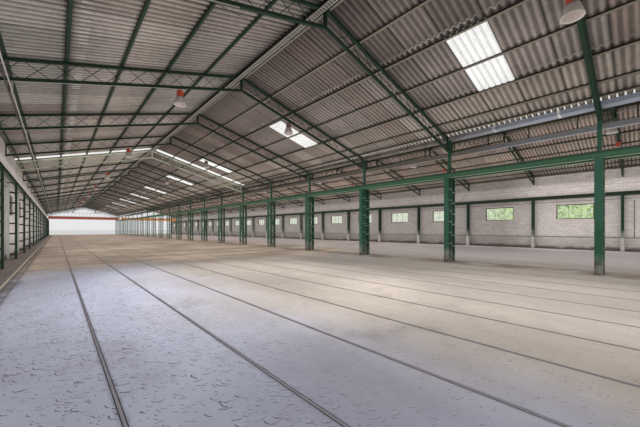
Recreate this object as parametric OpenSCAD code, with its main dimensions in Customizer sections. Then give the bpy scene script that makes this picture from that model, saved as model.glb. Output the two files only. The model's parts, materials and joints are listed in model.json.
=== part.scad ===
// Twin-nave factory hall with lattice rafters, battened crane columns and overhead cranes.
// Scale model at 1:10: every size below is a model size in millimetres.
// Origin: middle of the floor slab's underside. +X runs across the naves, +Y along the hall
// to the end where the cranes are parked, +Z up.

/* [Hall] */
// Number of bays along the hall
n_bays = 22; // [8:1:26]
// Length of one bay, from frame to frame
bay = 480; // [420:5:600]
// Clear width of a nave, from its outer wall to the middle columns
nave_clear = 1434; // [1300:2:1600]
// Height of the eave line over the floor
eave_h = 544; // [510:1:620]
// Height of the ridge line over the floor
ridge_h = 739; // [700:1:820]
// How far walls, floor and girders run past the end frames
end_out = 12; // [12:1:30]

/* [Floor] */
// Thickness of the floor slab
floor_t = 15; // [8:1:30]
// Steel floor strips in each nave
n_strips = 11; // [4:1:11]
// Distance from the hall's middle line to the first floor strip
strip_first = 71; // [55:1:80]
// Distance from one floor strip to the next
strip_pitch = 118; // [90:1:120]
// Width of a floor strip
strip_w = 2.2; // [1.6:0.1:6]
// Open joint on each side of a floor strip
strip_joint = 0.9; // [0.5:0.1:2]
// Depth of the groove that holds a floor strip
strip_depth = 2; // [1:0.5:4]
// How far a floor strip stands over the floor
strip_proud = 0.2; // [0.1:0.1:0.5]
// Distance from the outer wall to the kerb beside the drain
kerb_in = 77; // [55:1:85]
// Width of the kerb
kerb_w = 5; // [4:1:12]
// Height of the kerb over the floor
kerb_h = 2; // [1:0.5:5]
// Width of the drain channel
drain_w = 19; // [10:1:24]
// Depth of the drain channel
drain_depth = 3; // [1:0.5:5]

/* [Outer walls] */
// Thickness of the blockwork
wall_t = 20; // [14:1:30]
// Width of a window
win_w = 206; // [120:2:260]
// Height of a window
win_h = 106; // [70:1:120]
// Height of the window sill over the floor
sill_h = 216; // [150:1:240]
// Width of the bars of a window frame
win_bar = 5; // [3:0.5:8]
// Depth of a window frame in the wall
win_frame_d = 6; // [4:0.5:10]
// Height of the lintel ledge's lower edge over the window heads
ledge_over = 23; // [4:1:26]
// Height of the lintel ledge
ledge_h = 17; // [10:1:24]
// How far the lintel ledge stands out of the wall, inside
ledge_out = 3; // [1:0.5:4]
// Thickness of the window glass
glass_t = 1; // [0.6:0.1:2]

/* [Columns] */
// Height of the column tops, under the crane girders
column_h = 364; // [340:1:380]
// Depth of a middle column across the hall
mid_depth = 66; // [60:1:80]
// Width of a middle column along the hall
mid_w = 20; // [14:1:26]
// Depth of a wall post across the hall
post_depth = 34; // [30:1:40]
// Gap between a wall post and the wall
post_gap = 5; // [4.5:0.5:8]
// Width of a wall post along the hall
post_w = 14; // [10:1:20]
// Flange depth of a column channel
chord_d = 8; // [5:0.5:12]
// Wall thickness of a column channel
chord_t = 1.2; // [0.8:0.1:2]
// Thickness of the battens that tie the channels together
batten_t = 1; // [0.6:0.1:2]
// Height of a batten
batten_h = 7; // [4:0.5:12]
// Distance from one batten to the next on a middle column
batten_pitch = 47; // [35:1:70]
// Distance from one batten to the next on a wall post
post_pitch = 49; // [40:1:80]
// How much higher the ties on one side of a middle column sit
tie_step = 12; // [8:1:20]
// Thickness of base plates, cap plates and seats
plate_t = 2; // [1:0.5:4]
// How far a plate stands out around its column
plate_out = 2; // [1:0.5:3]
// Height of the plinths under the posts of the right wall
plinth_h = 85; // [40:1:120]
// How far a plinth stands out around its post
plinth_out = 2; // [2:0.5:4.5]
// Side of the slim shaft inside and over a middle column
shaft_w = 11; // [8:1:16]

/* [Crane runway] */
// Distance of a rail's middle from the wall face or the hall's middle line
rail_off = 24; // [23:0.5:26]
// Depth of a crane girder
girder_d = 21; // [16:1:30]
// Flange width of a crane girder
girder_w = 13; // [10:0.5:13]
// Flange thickness of a crane girder
girder_flange = 1.6; // [1:0.1:3]
// Web thickness of a crane girder
girder_web = 1.2; // [0.8:0.1:3]
// Width of a crane rail
rail_w = 5; // [3:0.5:8]
// Height of a crane rail
rail_h = 4; // [3:0.5:6]
// Height of the end stops over the rail
stop_h = 16; // [10:1:20]
// Length of an end stop along the rail
stop_len = 10; // [6:1:20]
// Gap between a rail's end and the end stop
stop_gap = 0.3; // [0.2:0.1:1]

/* [Cranes] */
// Distance of a parked crane's middle from the far end frame
crane_rest = 580; // [200:10:900]
// Depth of the bridge girder
bridge_d = 62; // [40:1:66]
// Width of the bridge girder
bridge_w = 35; // [20:1:50]
// Thickness of the bridge girder's flange plates
bridge_flange = 3; // [2:0.5:5]
// Width of the bridge girder's box between the flange plates
bridge_box = 25; // [15:1:30]
// Length of an end carriage along the rail
carriage_len = 160; // [110:1:200]
// Width of an end carriage
carriage_w = 14; // [10:0.5:15]
// Height of an end carriage
carriage_h = 20; // [16:1:30]
// Clearance between the rail and the end carriage or the bridge
carriage_lift = 5; // [5:0.5:8]
// Radius of a crane wheel
wheel_r = 8; // [7:0.5:10]
// Distance from one crane wheel to the other on a carriage
wheel_base = 110; // [80:1:130]
// Tread width of a crane wheel
wheel_w = 6; // [4:0.5:8]
// Running gap between wheel and rail
wheel_gap = 0.3; // [0.1:0.1:0.5]

/* [Rafters] */
// Depth of a lattice rafter, measured upright
rafter_d = 58; // [44:1:62]
// Height of a rafter chord
rafter_bar = 8; // [4:0.5:9]
// Width of a rafter chord along the hall
rafter_w = 8; // [5:0.5:10]
// Width of the end posts of a rafter
upright_w = 4; // [2:0.5:6]
// Thickness of the rods between the chords
rod_t = 1.4; // [1:0.1:4]
// Gap between the cable tray's edge and the foot of the first rod
rod_gap = 15; // [5:0.5:20]
// Spaces between the rods' feet on one rafter
n_panels = 12; // [6:1:14]
// Half width of the valley gutter, where the inner rafters end
valley_half = 20; // [19:0.5:22]
// How far a shaft's seat reaches under the inner rafters
seat_out = 6; // [4:0.5:8]

/* [Gable ties] */
// Height of the tie chord that crosses the nave at each end
tie_bar = 7; // [5:0.5:10]
// Distance from the lower chord's top to the upper chord of a tie
tie_rise = 92; // [80:1:100]
// Distance between the upright bars of a tie
tie_pitch = 78; // [60:1:100]
// Width of an upright bar of a tie
tie_upright = 3; // [2:0.5:5]

/* [Roof] */
// Distance from the ridge to the first purlin, down the slope
purlin_first = 13; // [12:0.5:30]
// Distance from one purlin to the next
purlin_pitch = 130.5; // [100:0.5:135]
// Spaces between the upper purlins
n_purlin_spaces = 4; // [3:1:4]
// Distance of the lower purlin from the foot of the slope
purlin_lower_in = 89; // [60:1:110]
// Distance of the eave purlin from the foot of the slope
purlin_last_in = 16; // [12:1:24]
// Height of a purlin
purlin_h = 5; // [4:0.5:12]
// Flange width of a purlin
purlin_w = 6.5; // [5:0.5:12]
// Sheet thickness of a purlin
purlin_t = 1; // [0.6:0.1:2]
// Depth of the corrugated roof sheeting
sheet_t = 6; // [3:0.5:8]
// How far the sheeting stands out past the outer wall
eave_out = 30; // [15:1:40]
// How far the sheeting stands out past the end frames
gable_out = 25; // [14:1:50]
// Gap left between the sheets at the ridge, down each slope
ridge_gap = 4; // [2:0.5:8]
// How far the inner sheets reach over the gutter's edge
valley_lap = 5; // [2:0.5:8]
// Width of each leaf of the ridge cap
cap_w = 28; // [15:1:40]
// Thickness of the ridge cap
cap_t = 1.5; // [1:0.1:3]
// Gap between the ridge cap and the sheets
cap_gap = 0.2; // [0.1:0.1:1]
// Height of the valley gutter
gutter_h = 15; // [10:1:24]
// Gap between the sheets and the gutter's rim and walls under them
rim_gap = 0.3; // [0.2:0.1:2]
// Thickness of the gutter's sheet
gutter_t = 1.2; // [0.8:0.1:2]

/* [Rooflights] */
// Distance from the ridge to the rooflights, down the slope
light_start = 274; // [270:1:290]
// Length of a rooflight down the slope
light_len = 261; // [150:1:280]
// Width of a rooflight along the hall
light_w = 106; // [60:1:160]
// Distance from a frame to the edge of the rooflight after it
light_off = 137; // [100:1:180]
// How much further every second rooflight lies
light_stagger = 36; // [0:1:50]
// Frame before which the narrow crosswise rooflight lies
joint_frame = 6; // [2:1:7]
// Distance from the crosswise rooflight to that frame
joint_off = 8; // [5:1:40]
// Width of the crosswise rooflight
joint_w = 60; // [20:1:80]
// Sheeting left whole at both ends of the crosswise rooflight
joint_end = 20; // [12:1:40]

/* [Services] */
// Distance of the cable tray's middle from the ridge line
tray_off = 18.5; // [16:0.5:22]
// Width of the cable tray under the ridge
tray_w = 16; // [8:1:20]
// Thickness of the cable tray
tray_t = 3; // [2:0.5:5]
// Gap between the rafters' upper chords and the cable tray's edge
tray_gap = 1.5; // [1:0.5:10]
// Diameter of a conduit
conduit_dia = 3; // [2:0.5:5]
// Distance from one conduit of the pair to the other
conduit_gap = 6; // [5:0.5:10]
// Distance of the conduits from the left wall
conduit_in = 94; // [80:1:120]
// Depth of the conduits under the rafters
conduit_drop = 27; // [12:1:40]
// Thickness of hanger straps
strap_t = 2; // [1:0.5:3]
// Purlin that carries the duct, counted from the ridge
duct_purlin = 4; // [3:1:4]
// Width of the duct
duct_w = 16; // [10:1:30]
// Height of the duct
duct_h = 20; // [14:1:30]
// Depth of the duct's top under the rafter's lower side
duct_drop = 5; // [3:1:30]
// Hangers of the duct in each bay
duct_hangers = 3; // [1:1:4]

/* [Lamps] */
// Distance of a lamp from the ridge line, across the nave
lamp_off = 226; // [120:1:300]
// Diameter of a lamp's stem
stem_dia = 2.4; // [1.5:0.1:4]
// Length of a lamp's stem
stem_len = 8; // [4:1:20]
// Diameter of a lamp's housing
housing_dia = 22; // [12:1:28]
// Height of a lamp's housing
housing_h = 20; // [10:1:28]
// Diameter of a lamp's reflector at its mouth
reflector_dia = 40; // [34:1:60]
// Height of a lamp's reflector
reflector_h = 27; // [16:1:34]
// Height of the straight rim at the reflector's mouth
rim_h = 2; // [1:0.5:4]

/* [Hidden] */

LEFT = -1;
RIGHT = 1;
hall_len = n_bays * bay;
end_y = hall_len / 2;
long_len = hall_len + 2 * end_out;
wall_x = mid_depth / 2 + nave_clear;
ridge_x = mid_depth / 2 + nave_clear / 2;
half_span = nave_clear / 2;
fall = (ridge_h - eave_h) / half_span;
pitch = atan(fall);
slope_len = half_span / cos(pitch);
z_floor = floor_t;
z_column = z_floor + column_h;
z_ridge = z_floor + ridge_h;
z_rail = z_column + girder_d + rail_h;
head_h = sill_h + win_h;
groove_w = strip_w + 2 * strip_joint;
wall_rail_x = wall_x - rail_off;
post_x = wall_x - post_gap - post_depth / 2;
seat_half = valley_half + seat_out;
rod_start = tray_off + tray_w / 2 + rod_gap;
z_gutter = under_sheets(ridge_x - valley_half + gutter_t) - gutter_h;
purlin_at = [for (j = [0:n_purlin_spaces]) purlin_first + j * purlin_pitch];
all_purlins = concat(purlin_at, [slope_len - purlin_lower_in, slope_len - purlin_last_in]);
outer_len = (half_span + wall_t + eave_out) / cos(pitch);
inner_len = (ridge_x - valley_half + valley_lap) / cos(pitch);
roof_len = hall_len + 2 * gable_out;
light_frames = [for (i = [1:2:n_bays - 1]) i];
outer_reach = half_span;
inner_reach = ridge_x - valley_half;
// How far cuts run past the solid
over = 1;
// How far drawings that join reach into each other
eps = 0.01;
$fn = 32;

// Place of frame i along the hall
function frame_y(i) = -end_y + i * bay;

// Height of the rafters' upper line at a distance from the ridge
function top_z(d) = z_ridge - fall * d;

// Height of the rafters' lower line at a distance from the ridge
function low_z(d) = top_z(d) - rafter_d;

// Height of what ends just under the sheets at a distance from the ridge
function under_sheets(d) = top_z(d) + purlin_h / cos(pitch) - rim_gap;

// Puts a shape at every frame
module at_frames() {
  for (i = [0:n_bays]) translate([0, frame_y(i), 0]) children();
}

// Box with its middle on the X and Y axes
module block(size, z = 0) {
  translate([-size.x / 2, -size.y / 2, z]) cube(size);
}

// Long bar of the hall's length with its middle on the Y axis
module long_bar(w, h, z = 0, length = long_len) {
  block([w, length, h], z);
}

// Stands a flat drawing of X and Z upright, with its middle on the Y axis
module upright(depth) {
  rotate([90, 0, 0]) linear_extrude(depth, center = true) children();
}

// Turns a slope's own frame into the hall: X down the slope from the ridge, Z out of the roof
module on_slope(nave, side) {
  translate([nave * ridge_x, 0, z_ridge]) mirror([side < 0 ? 1 : 0, 0, 0]) rotate([0, pitch, 0])
    children();
}

// Floor

module strip_places() {
  for (side = [LEFT, RIGHT], k = [0:n_strips - 1])
    translate([side * (strip_first + k * strip_pitch), 0, 0]) children();
}

module floor_slab() {
  drain_x = wall_x - kerb_in - kerb_w - drain_w / 2;
  color("lightgray") difference() {
    long_bar(2 * (wall_x + wall_t), floor_t);
    strip_places() long_bar(groove_w, strip_depth + over, z_floor - strip_depth, long_len + over);
    for (side = [LEFT, RIGHT]) translate([side * drain_x, 0, 0])
      long_bar(drain_w, drain_depth + over, z_floor - drain_depth, long_len + over);
  }
}

module floor_strips() {
  color("dimgray") strip_places()
    long_bar(strip_w, strip_depth + strip_proud, z_floor - strip_depth);
}

module kerbs() {
  color("gainsboro") for (side = [LEFT, RIGHT])
    translate([side * (wall_x - kerb_in - kerb_w / 2), 0, 0]) long_bar(kerb_w, kerb_h, z_floor);
}

// Outer walls

module wall_course(side, from, to) {
  color("gainsboro") translate([side * (wall_x + wall_t / 2), 0, 0])
    long_bar(wall_t, to - from, z_floor + from);
}

// Upper courses with the lintel ledge along their inner face
module wall_head(side) {
  wall_course(side, head_h, under_sheets(half_span + wall_t) - z_floor);
  color("gainsboro") translate([side * (wall_x - ledge_out / 2), 0, 0])
    long_bar(ledge_out, ledge_h, z_floor + head_h + ledge_over);
}

module wall_piers(side) {
  half = (bay - win_w) / 2;
  color("gainsboro") for (i = [0:n_bays]) {
    back = i == 0 ? end_out : half;
    ahead = i == n_bays ? end_out : half;
    translate([side * (wall_x + wall_t / 2) - wall_t / 2, frame_y(i) - back, z_floor + sill_h])
      cube([wall_t, back + ahead, win_h]);
  }
}

module window_places(side) {
  for (i = [0:n_bays - 1])
    translate([side * (wall_x + wall_t / 2), frame_y(i) + bay / 2, z_floor + sill_h]) children();
}

module window_frames(side) {
  color("darkslategray") window_places(side) difference() {
    block([win_frame_d, win_w, win_h]);
    block([win_frame_d + over, win_w - 2 * win_bar, win_h - 2 * win_bar], win_bar);
  }
}

module window_glass(side) {
  color("lightcyan") window_places(side)
    block([glass_t, win_w - 2 * win_bar, win_h - 2 * win_bar], win_bar);
}

// Columns and posts

// Flat drawing of a channel: its web on the left, its flanges to the right
module channel_outline(depth, width, t) {
  translate([0, -width / 2]) difference() {
    square([depth, width]);
    translate([t, t]) square([depth, width - 2 * t]);
  }
}

// Heights of the battens in a column, with room left over the last one
function batten_places(height, gap, room = 0) =
  [for (z = [plate_t + gap / 2 - batten_h:gap:height - plate_t - batten_h - room]) z];

// Flat bars in both faces of a column, from one distance across it to another
module batten_pair(from, to, width, z) {
  for (side = [-1, 1])
    translate([(from + to) / 2, side * (width - batten_t) / 2, z])
      block([to - from, batten_t, batten_h]);
}

// Two channels facing each other, with a plate at each end
module channel_pair(depth, width, height) {
  for (turn = [0, 180]) rotate([0, 0, turn]) translate([-depth / 2, 0, plate_t])
    linear_extrude(height - 2 * plate_t) channel_outline(chord_d, width, chord_t);
  for (z = [0, height - plate_t])
    block([depth, width + 2 * plate_out, plate_t], z);
}

// Two channels tied by flat bars between them
module wall_post(depth, width, height) {
  edge = depth / 2 - chord_d;
  channel_pair(depth, width, height);
  for (z = batten_places(height, post_pitch)) batten_pair(-edge, edge, width, z);
}

module left_wall_posts() {
  color("darkgreen") at_frames() translate([-post_x, 0, z_floor])
    wall_post(post_depth, post_w, column_h);
}

module right_wall_posts() {
  color("darkgreen") at_frames() translate([post_x, 0, z_floor + plinth_h])
    wall_post(post_depth, post_w, column_h - plinth_h);
}

module plinths() {
  color("whitesmoke") at_frames() translate([post_x, 0, 0])
    block([post_depth + 2 * plinth_out, post_w + 2 * plinth_out, plinth_h], z_floor);
}

// Two channels with the shaft's foot between them, each tied to it by short bars
module middle_column(depth, width, height) {
  edge = depth / 2 - chord_d;
  channel_pair(depth, width, height);
  block([shaft_w, width, height - 2 * plate_t], plate_t);
  for (z = batten_places(height, batten_pitch, tie_step)) {
    batten_pair(shaft_w / 2, edge, width, z);
    batten_pair(-edge, -shaft_w / 2, width, z + tie_step);
  }
}

module middle_columns() {
  color("seagreen") at_frames() translate([0, 0, z_floor])
    middle_column(mid_depth, mid_w, column_h);
}

// Slim shaft from the column's cap plate to the gutter, with a seat on each side for the rafters
module middle_shafts() {
  z_seat = low_z(ridge_x - valley_half);
  color("seagreen") at_frames() {
    block([shaft_w, shaft_w, z_gutter - z_column], z_column);
    block([2 * seat_half, shaft_w, plate_t], z_seat - plate_t);
    block([2 * valley_half, shaft_w, plate_t], z_gutter - plate_t);
  }
}

// Crane runway

module rail_places() {
  for (x = [-wall_rail_x, -rail_off, rail_off, wall_rail_x]) translate([x, 0, 0]) children();
}

module crane_girders() {
  color("mediumseagreen") rail_places() {
    long_bar(girder_w, girder_flange, z_column);
    long_bar(girder_web, girder_d, z_column);
    long_bar(girder_w, girder_flange, z_column + girder_d - girder_flange);
  }
}

// Rails, each between two stop blocks on its girder's ends
module crane_rails() {
  z = z_column + girder_d;
  color("dimgray") rail_places() {
    long_bar(rail_w, rail_h, z, long_len - 2 * (stop_len + stop_gap));
    for (side = [-1, 1]) translate([0, side * (long_len - stop_len) / 2, 0])
      block([girder_w, stop_len, rail_h + stop_h], z);
  }
}

// Overhead cranes

module crane_place(nave) {
  translate([0, end_y - crane_rest, 0]) mirror([nave < 0 ? 1 : 0, 0, 0]) children();
}

module crane_bridge(nave) {
  from = rail_off + carriage_w / 2;
  to = wall_rail_x - carriage_w / 2;
  z = z_rail + carriage_lift;
  color("firebrick") crane_place(nave) translate([(from + to) / 2, 0, 0]) {
    block([to - from, bridge_box, bridge_d], z);
    block([to - from, bridge_w, bridge_flange], z);
    block([to - from, bridge_w, bridge_flange], z + bridge_d - bridge_flange);
  }
}

module crane_carriages(nave) {
  color("goldenrod") crane_place(nave) for (x = [rail_off, wall_rail_x]) translate([x, 0, z_rail]) {
    block([carriage_w, carriage_len, carriage_h], carriage_lift);
    for (side = [-1, 1]) translate([0, side * wheel_base / 2, wheel_r + wheel_gap])
      rotate([0, 90, 0]) cylinder(r = wheel_r, h = wheel_w, center = true);
  }
}

// Rafters and gable ties

// Flat drawing of a sloping bar under the line of a rafter, from one distance to the other
module sloping_bar(from, to, drop) {
  thick = rafter_bar / cos(pitch);
  polygon([[from, -fall * from - drop], [to, -fall * to - drop],
    [to, -fall * to - drop - thick], [from, -fall * from - drop - thick]]);
}

// Flat drawing of a rafter's chords and end posts, from the ridge to a distance across the nave
module rafter_outline(reach) {
  sloping_bar(0, reach, 0);
  sloping_bar(0, reach, rafter_d - rafter_bar / cos(pitch));
  for (x = [0, reach - upright_w]) polygon([
    [x, -fall * x - eps], [x + upright_w, -fall * (x + upright_w) - eps],
    [x + upright_w, -fall * (x + upright_w) - rafter_d + eps], [x, -fall * x - rafter_d + eps]]);
}

// Flat drawing of a straight rod between two points
module rod_outline(from, to) {
  run = to - from;
  translate(from) rotate(atan2(run.y, run.x)) translate([0, -rod_t / 2]) square([norm(run), rod_t]);
}

// Flat drawing of the rod that is bent to and fro between the chords
module bent_rod_outline(reach) {
  step = (reach - upright_w / 2 - rod_start) / n_panels;
  mid = rafter_bar / 2 / cos(pitch);
  feet = [for (k = [0:n_panels]) let (x = rod_start + k * step)
    [x, -fall * x - (k % 2 == 0 ? mid : rafter_d - mid)]];
  for (k = [0:n_panels - 1]) rod_outline(feet[k], feet[k + 1]);
}

module rafters(nave, side, reach) {
  color("darkgreen") at_frames() translate([nave * ridge_x, 0, z_ridge])
    mirror([side < 0 ? 1 : 0, 0, 0]) {
      upright(rafter_w) rafter_outline(reach);
      upright(rod_t) bent_rod_outline(reach);
    }
}

// Flat drawing of a tie: two chords and upright bars, cut off under the rafters
module tie_outline() {
  far = half_span;
  near = ridge_x - seat_half;
  z_low = -(ridge_h - eave_h) - rafter_d;
  intersection() {
    polygon([[-far, z_low - tie_bar], [near, z_low - tie_bar],
      [near, -fall * near - rafter_d], [0, -rafter_d], [-far, -fall * far - rafter_d]]);
    union() {
      translate([-far, z_low - tie_bar]) square([far + near, tie_bar]);
      translate([-far, z_low + tie_rise]) square([far + near, tie_bar]);
      for (x = [0:tie_pitch:far], side = [-1, 1]) translate([side * x - tie_upright / 2, z_low - eps])
        square([tie_upright, tie_rise + tie_bar]);
    }
  }
}

module gable_ties() {
  color("darkolivegreen") for (end = [-1, 1], nave = [LEFT, RIGHT])
    translate([nave * ridge_x, end * end_y, z_ridge]) mirror([nave > 0 ? 1 : 0, 0, 0])
      upright(tie_bar) tie_outline();
}

// Roof

module purlins(nave, side, tint) {
  color(tint) on_slope(nave, side) for (s = all_purlins) translate([s, 0, 0]) upright(long_len)
    rotate(90) channel_outline(purlin_h, purlin_w, purlin_t);
}

// Flat box on a slope
module slope_box(s, length, y, width, t, z) {
  translate([s, y, z]) cube([length, width, t]);
}

module main_lights(t, z) {
  for (i = light_frames)
    slope_box(light_start, light_len, frame_y(i) + light_off + (i % 4 == 1 ? light_stagger : 0),
      light_w, t, z);
}

module cross_light(t, z) {
  slope_box(ridge_gap + cap_w + joint_end, slope_len - ridge_gap - cap_w - 2 * joint_end,
    frame_y(joint_frame) - joint_off - joint_w, joint_w, t, z);
}

module sheeting(nave, side) {
  length = nave * side > 0 ? outer_len : inner_len;
  color("darkgray") on_slope(nave, side) difference() {
    translate([ridge_gap, -roof_len / 2, purlin_h]) cube([length - ridge_gap, roof_len, sheet_t]);
    if (nave * side < 0) main_lights(sheet_t + 2 * over, purlin_h - over);
    if (nave == LEFT) cross_light(sheet_t + 2 * over, purlin_h - over);
  }
}

module rooflights() {
  color("aliceblue") {
    for (nave = [LEFT, RIGHT]) on_slope(nave, -nave) main_lights(sheet_t, purlin_h);
    for (side = [-1, 1]) on_slope(LEFT, side) cross_light(sheet_t, purlin_h);
  }
}

module ridge_caps() {
  base = (purlin_h + sheet_t) / cos(pitch) + cap_gap;
  color("gray") for (nave = [LEFT, RIGHT]) translate([nave * ridge_x, 0, z_ridge + base])
    upright(roof_len) polygon([
      [0, 0], [cap_w, -fall * cap_w], [cap_w, -fall * cap_w + cap_t], [0, cap_t],
      [-cap_w, -fall * cap_w + cap_t], [-cap_w, -fall * cap_w]]);
}

module valley_gutter() {
  color("slategray") translate([0, 0, z_gutter]) difference() {
    long_bar(2 * valley_half, gutter_h);
    long_bar(2 * (valley_half - gutter_t), gutter_h, gutter_t, long_len + over);
  }
}

// Services

// Trays beside the ridge lines, hung from the rafters' upper chords
module cable_trays() {
  chord = rafter_bar / cos(pitch);
  z_top = top_z(tray_off + tray_w / 2) - chord - tray_gap;
  z_chord = top_z(tray_off + strap_t / 2) - chord;
  color("silver") for (nave = [LEFT, RIGHT]) translate([nave * (ridge_x + tray_off), 0, 0]) {
    long_bar(tray_w, tray_t, z_top - tray_t, hall_len);
    at_frames() block([strap_t, strap_t, z_chord - z_top], z_top);
  }
}

module conduits() {
  x = wall_x - conduit_in;
  z = low_z(x - ridge_x) - conduit_drop;
  strap_w = conduit_gap + conduit_dia;
  color("silver") translate([-x, 0, 0]) {
    for (side = [-1, 1]) translate([side * conduit_gap / 2, 0, z]) rotate([90, 0, 0])
      cylinder(d = conduit_dia, h = hall_len - bay / 2, center = true);
    for (i = [1:n_bays - 1]) translate([0, frame_y(i), 0])
      block([strap_w, strap_t, low_z(x + strap_w / 2 - ridge_x) - z], z);
  }
}

module duct() {
  d = all_purlins[duct_purlin] * cos(pitch);
  x = ridge_x - d;
  z_top = low_z(d) - duct_drop;
  count = n_bays * duct_hangers;
  color("lightslategray") translate([x, 0, 0]) {
    long_bar(duct_w, duct_h, z_top - duct_h, hall_len);
    for (k = [0:count - 1]) translate([0, -end_y + (k + 0.5) * hall_len / count, 0])
      block([strap_t, strap_t, top_z(d + strap_t / 2) - z_top], z_top);
  }
}

// Lamps

module lamp_places() {
  for (nave = [LEFT, RIGHT], side = [-1, 1], i = light_frames)
    translate([nave * ridge_x + side * lamp_off, frame_y(i), low_z(lamp_off + stem_dia / 2)])
      children();
}

module lamp_housings() {
  color("orangered") lamp_places() {
    translate([0, 0, -stem_len]) cylinder(d = stem_dia, h = stem_len);
    translate([0, 0, -stem_len - housing_h]) cylinder(d = housing_dia, h = housing_h);
  }
}

module lamp_reflectors() {
  color("whitesmoke") lamp_places() translate([0, 0, -stem_len - housing_h - reflector_h]) {
    translate([0, 0, rim_h])
      cylinder(d1 = reflector_dia, d2 = housing_dia, h = reflector_h - rim_h);
    cylinder(d = reflector_dia, h = rim_h);
  }
}

floor_slab();
floor_strips();
kerbs();
wall_course(LEFT, 0, sill_h);  // left_wall_base
wall_piers(LEFT);  // left_wall_piers
wall_head(LEFT);  // left_wall_top
wall_course(RIGHT, 0, sill_h);  // right_wall_base
wall_piers(RIGHT);  // right_wall_piers
wall_head(RIGHT);  // right_wall_top
window_frames(LEFT);  // left_window_frames
window_glass(LEFT);  // left_window_glass
window_frames(RIGHT);  // right_window_frames
window_glass(RIGHT);  // right_window_glass
left_wall_posts();
right_wall_posts();
plinths();
middle_columns();
middle_shafts();
crane_girders();
crane_rails();
rafters(LEFT, -1, outer_reach);  // rafters_left_outer
rafters(LEFT, 1, inner_reach);  // rafters_left_inner
rafters(RIGHT, -1, inner_reach);  // rafters_right_inner
rafters(RIGHT, 1, outer_reach);  // rafters_right_outer
gable_ties();
purlins(LEFT, -1, "darkgreen");  // purlins_left_outer
purlins(LEFT, 1, "gray");  // purlins_left_inner
purlins(RIGHT, -1, "gray");  // purlins_right_inner
purlins(RIGHT, 1, "gray");  // purlins_right_outer
sheeting(LEFT, -1);  // roof_left_outer
sheeting(LEFT, 1);  // roof_left_inner
sheeting(RIGHT, -1);  // roof_right_inner
sheeting(RIGHT, 1);  // roof_right_outer
rooflights();
ridge_caps();
valley_gutter();
cable_trays();
conduits();
duct();
lamp_housings();
lamp_reflectors();
crane_bridge(LEFT);  // left_crane_bridge
crane_carriages(LEFT);  // left_crane_carriages
crane_bridge(RIGHT);  // right_crane_bridge
crane_carriages(RIGHT);  // right_crane_carriages
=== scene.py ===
"""Looks of the twin-nave factory hall: finishes, sheeting, fine steelwork, lamps, light and camera.

All lengths are metres in the 1:10 model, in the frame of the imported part: +X runs across the naves,
+Y along the hall to the end where the cranes are parked, +Z up from the floor slab's underside.
"""
import json
import math

import bpy
import numpy as np
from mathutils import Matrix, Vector


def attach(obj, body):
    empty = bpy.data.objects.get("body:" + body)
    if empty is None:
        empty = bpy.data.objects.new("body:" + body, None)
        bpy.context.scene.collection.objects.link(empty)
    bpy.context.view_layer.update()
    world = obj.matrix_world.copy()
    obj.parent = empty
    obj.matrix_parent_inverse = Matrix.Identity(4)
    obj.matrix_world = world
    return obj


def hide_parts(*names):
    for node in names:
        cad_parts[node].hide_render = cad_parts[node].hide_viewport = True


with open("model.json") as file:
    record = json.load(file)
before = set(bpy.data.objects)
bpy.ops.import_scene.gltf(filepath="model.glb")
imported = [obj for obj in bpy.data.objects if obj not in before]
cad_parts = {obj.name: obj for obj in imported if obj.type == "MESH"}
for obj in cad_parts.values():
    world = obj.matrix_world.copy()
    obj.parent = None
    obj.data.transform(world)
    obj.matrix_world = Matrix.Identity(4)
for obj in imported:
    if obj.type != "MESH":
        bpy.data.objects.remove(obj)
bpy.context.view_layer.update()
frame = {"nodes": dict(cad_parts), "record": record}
nodes = frame["nodes"]

# Driving dimensions of the hall, repeated from the part
BAYS = 22
BAY = 0.480
HALF_SPAN = 0.717
MID_DEPTH = 0.066
FLOOR_Z = 0.015
EAVE_H = 0.544
RIDGE_H = 0.739
RAFTER_D = 0.058
RAFTER_BAR = 0.008
UPRIGHT_W = 0.004
ROD_T = 0.0014
ROD_GAP = 0.015
PANELS = 12
VALLEY_HALF = 0.020
PURLIN_H = 0.005
PURLIN_FIRST = 0.013
PURLIN_PITCH = 0.1305
SHEET_DEPTH = 0.006
RIDGE_GAP = 0.004
VALLEY_LAP = 0.005
WALL_T = 0.020
EAVE_OUT = 0.030
GABLE_OUT = 0.025
LIGHT_OFF = 0.137
LIGHT_STAGGER = 0.036
CROSS_FRAME = 6
CROSS_OFF = 0.008
CROSS_W = 0.060
COLUMN_H = 0.364
MID_W = 0.020
SHAFT_W = 0.011
PLATE_T = 0.002
BATTEN_H = 0.007
BATTEN_PITCH = 0.047
TIE_STEP = 0.012
GIRDER_D = 0.021
SILL_H = 0.216
WIN_W = 0.206
WIN_H = 0.106
WINDOW_FRAME_W = 0.004
TRAY_OFF = 0.0185
TRAY_W = 0.016
LAMP_OFF = 0.226
STEM_DIA = 0.0024
STEM_LEN = 0.008
HOUSING_DIA = 0.022
HOUSING_H = 0.020
REFLECTOR_DIA = 0.040
REFLECTOR_H = 0.027
STRIP_FIRST = 0.071
STRIP_PITCH = 0.118
WALL_CHANNEL_X = 1.4535
DUCT_PURLIN = 4
DUCT_DROP = 0.005
DUCT_HANGERS = 3

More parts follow.
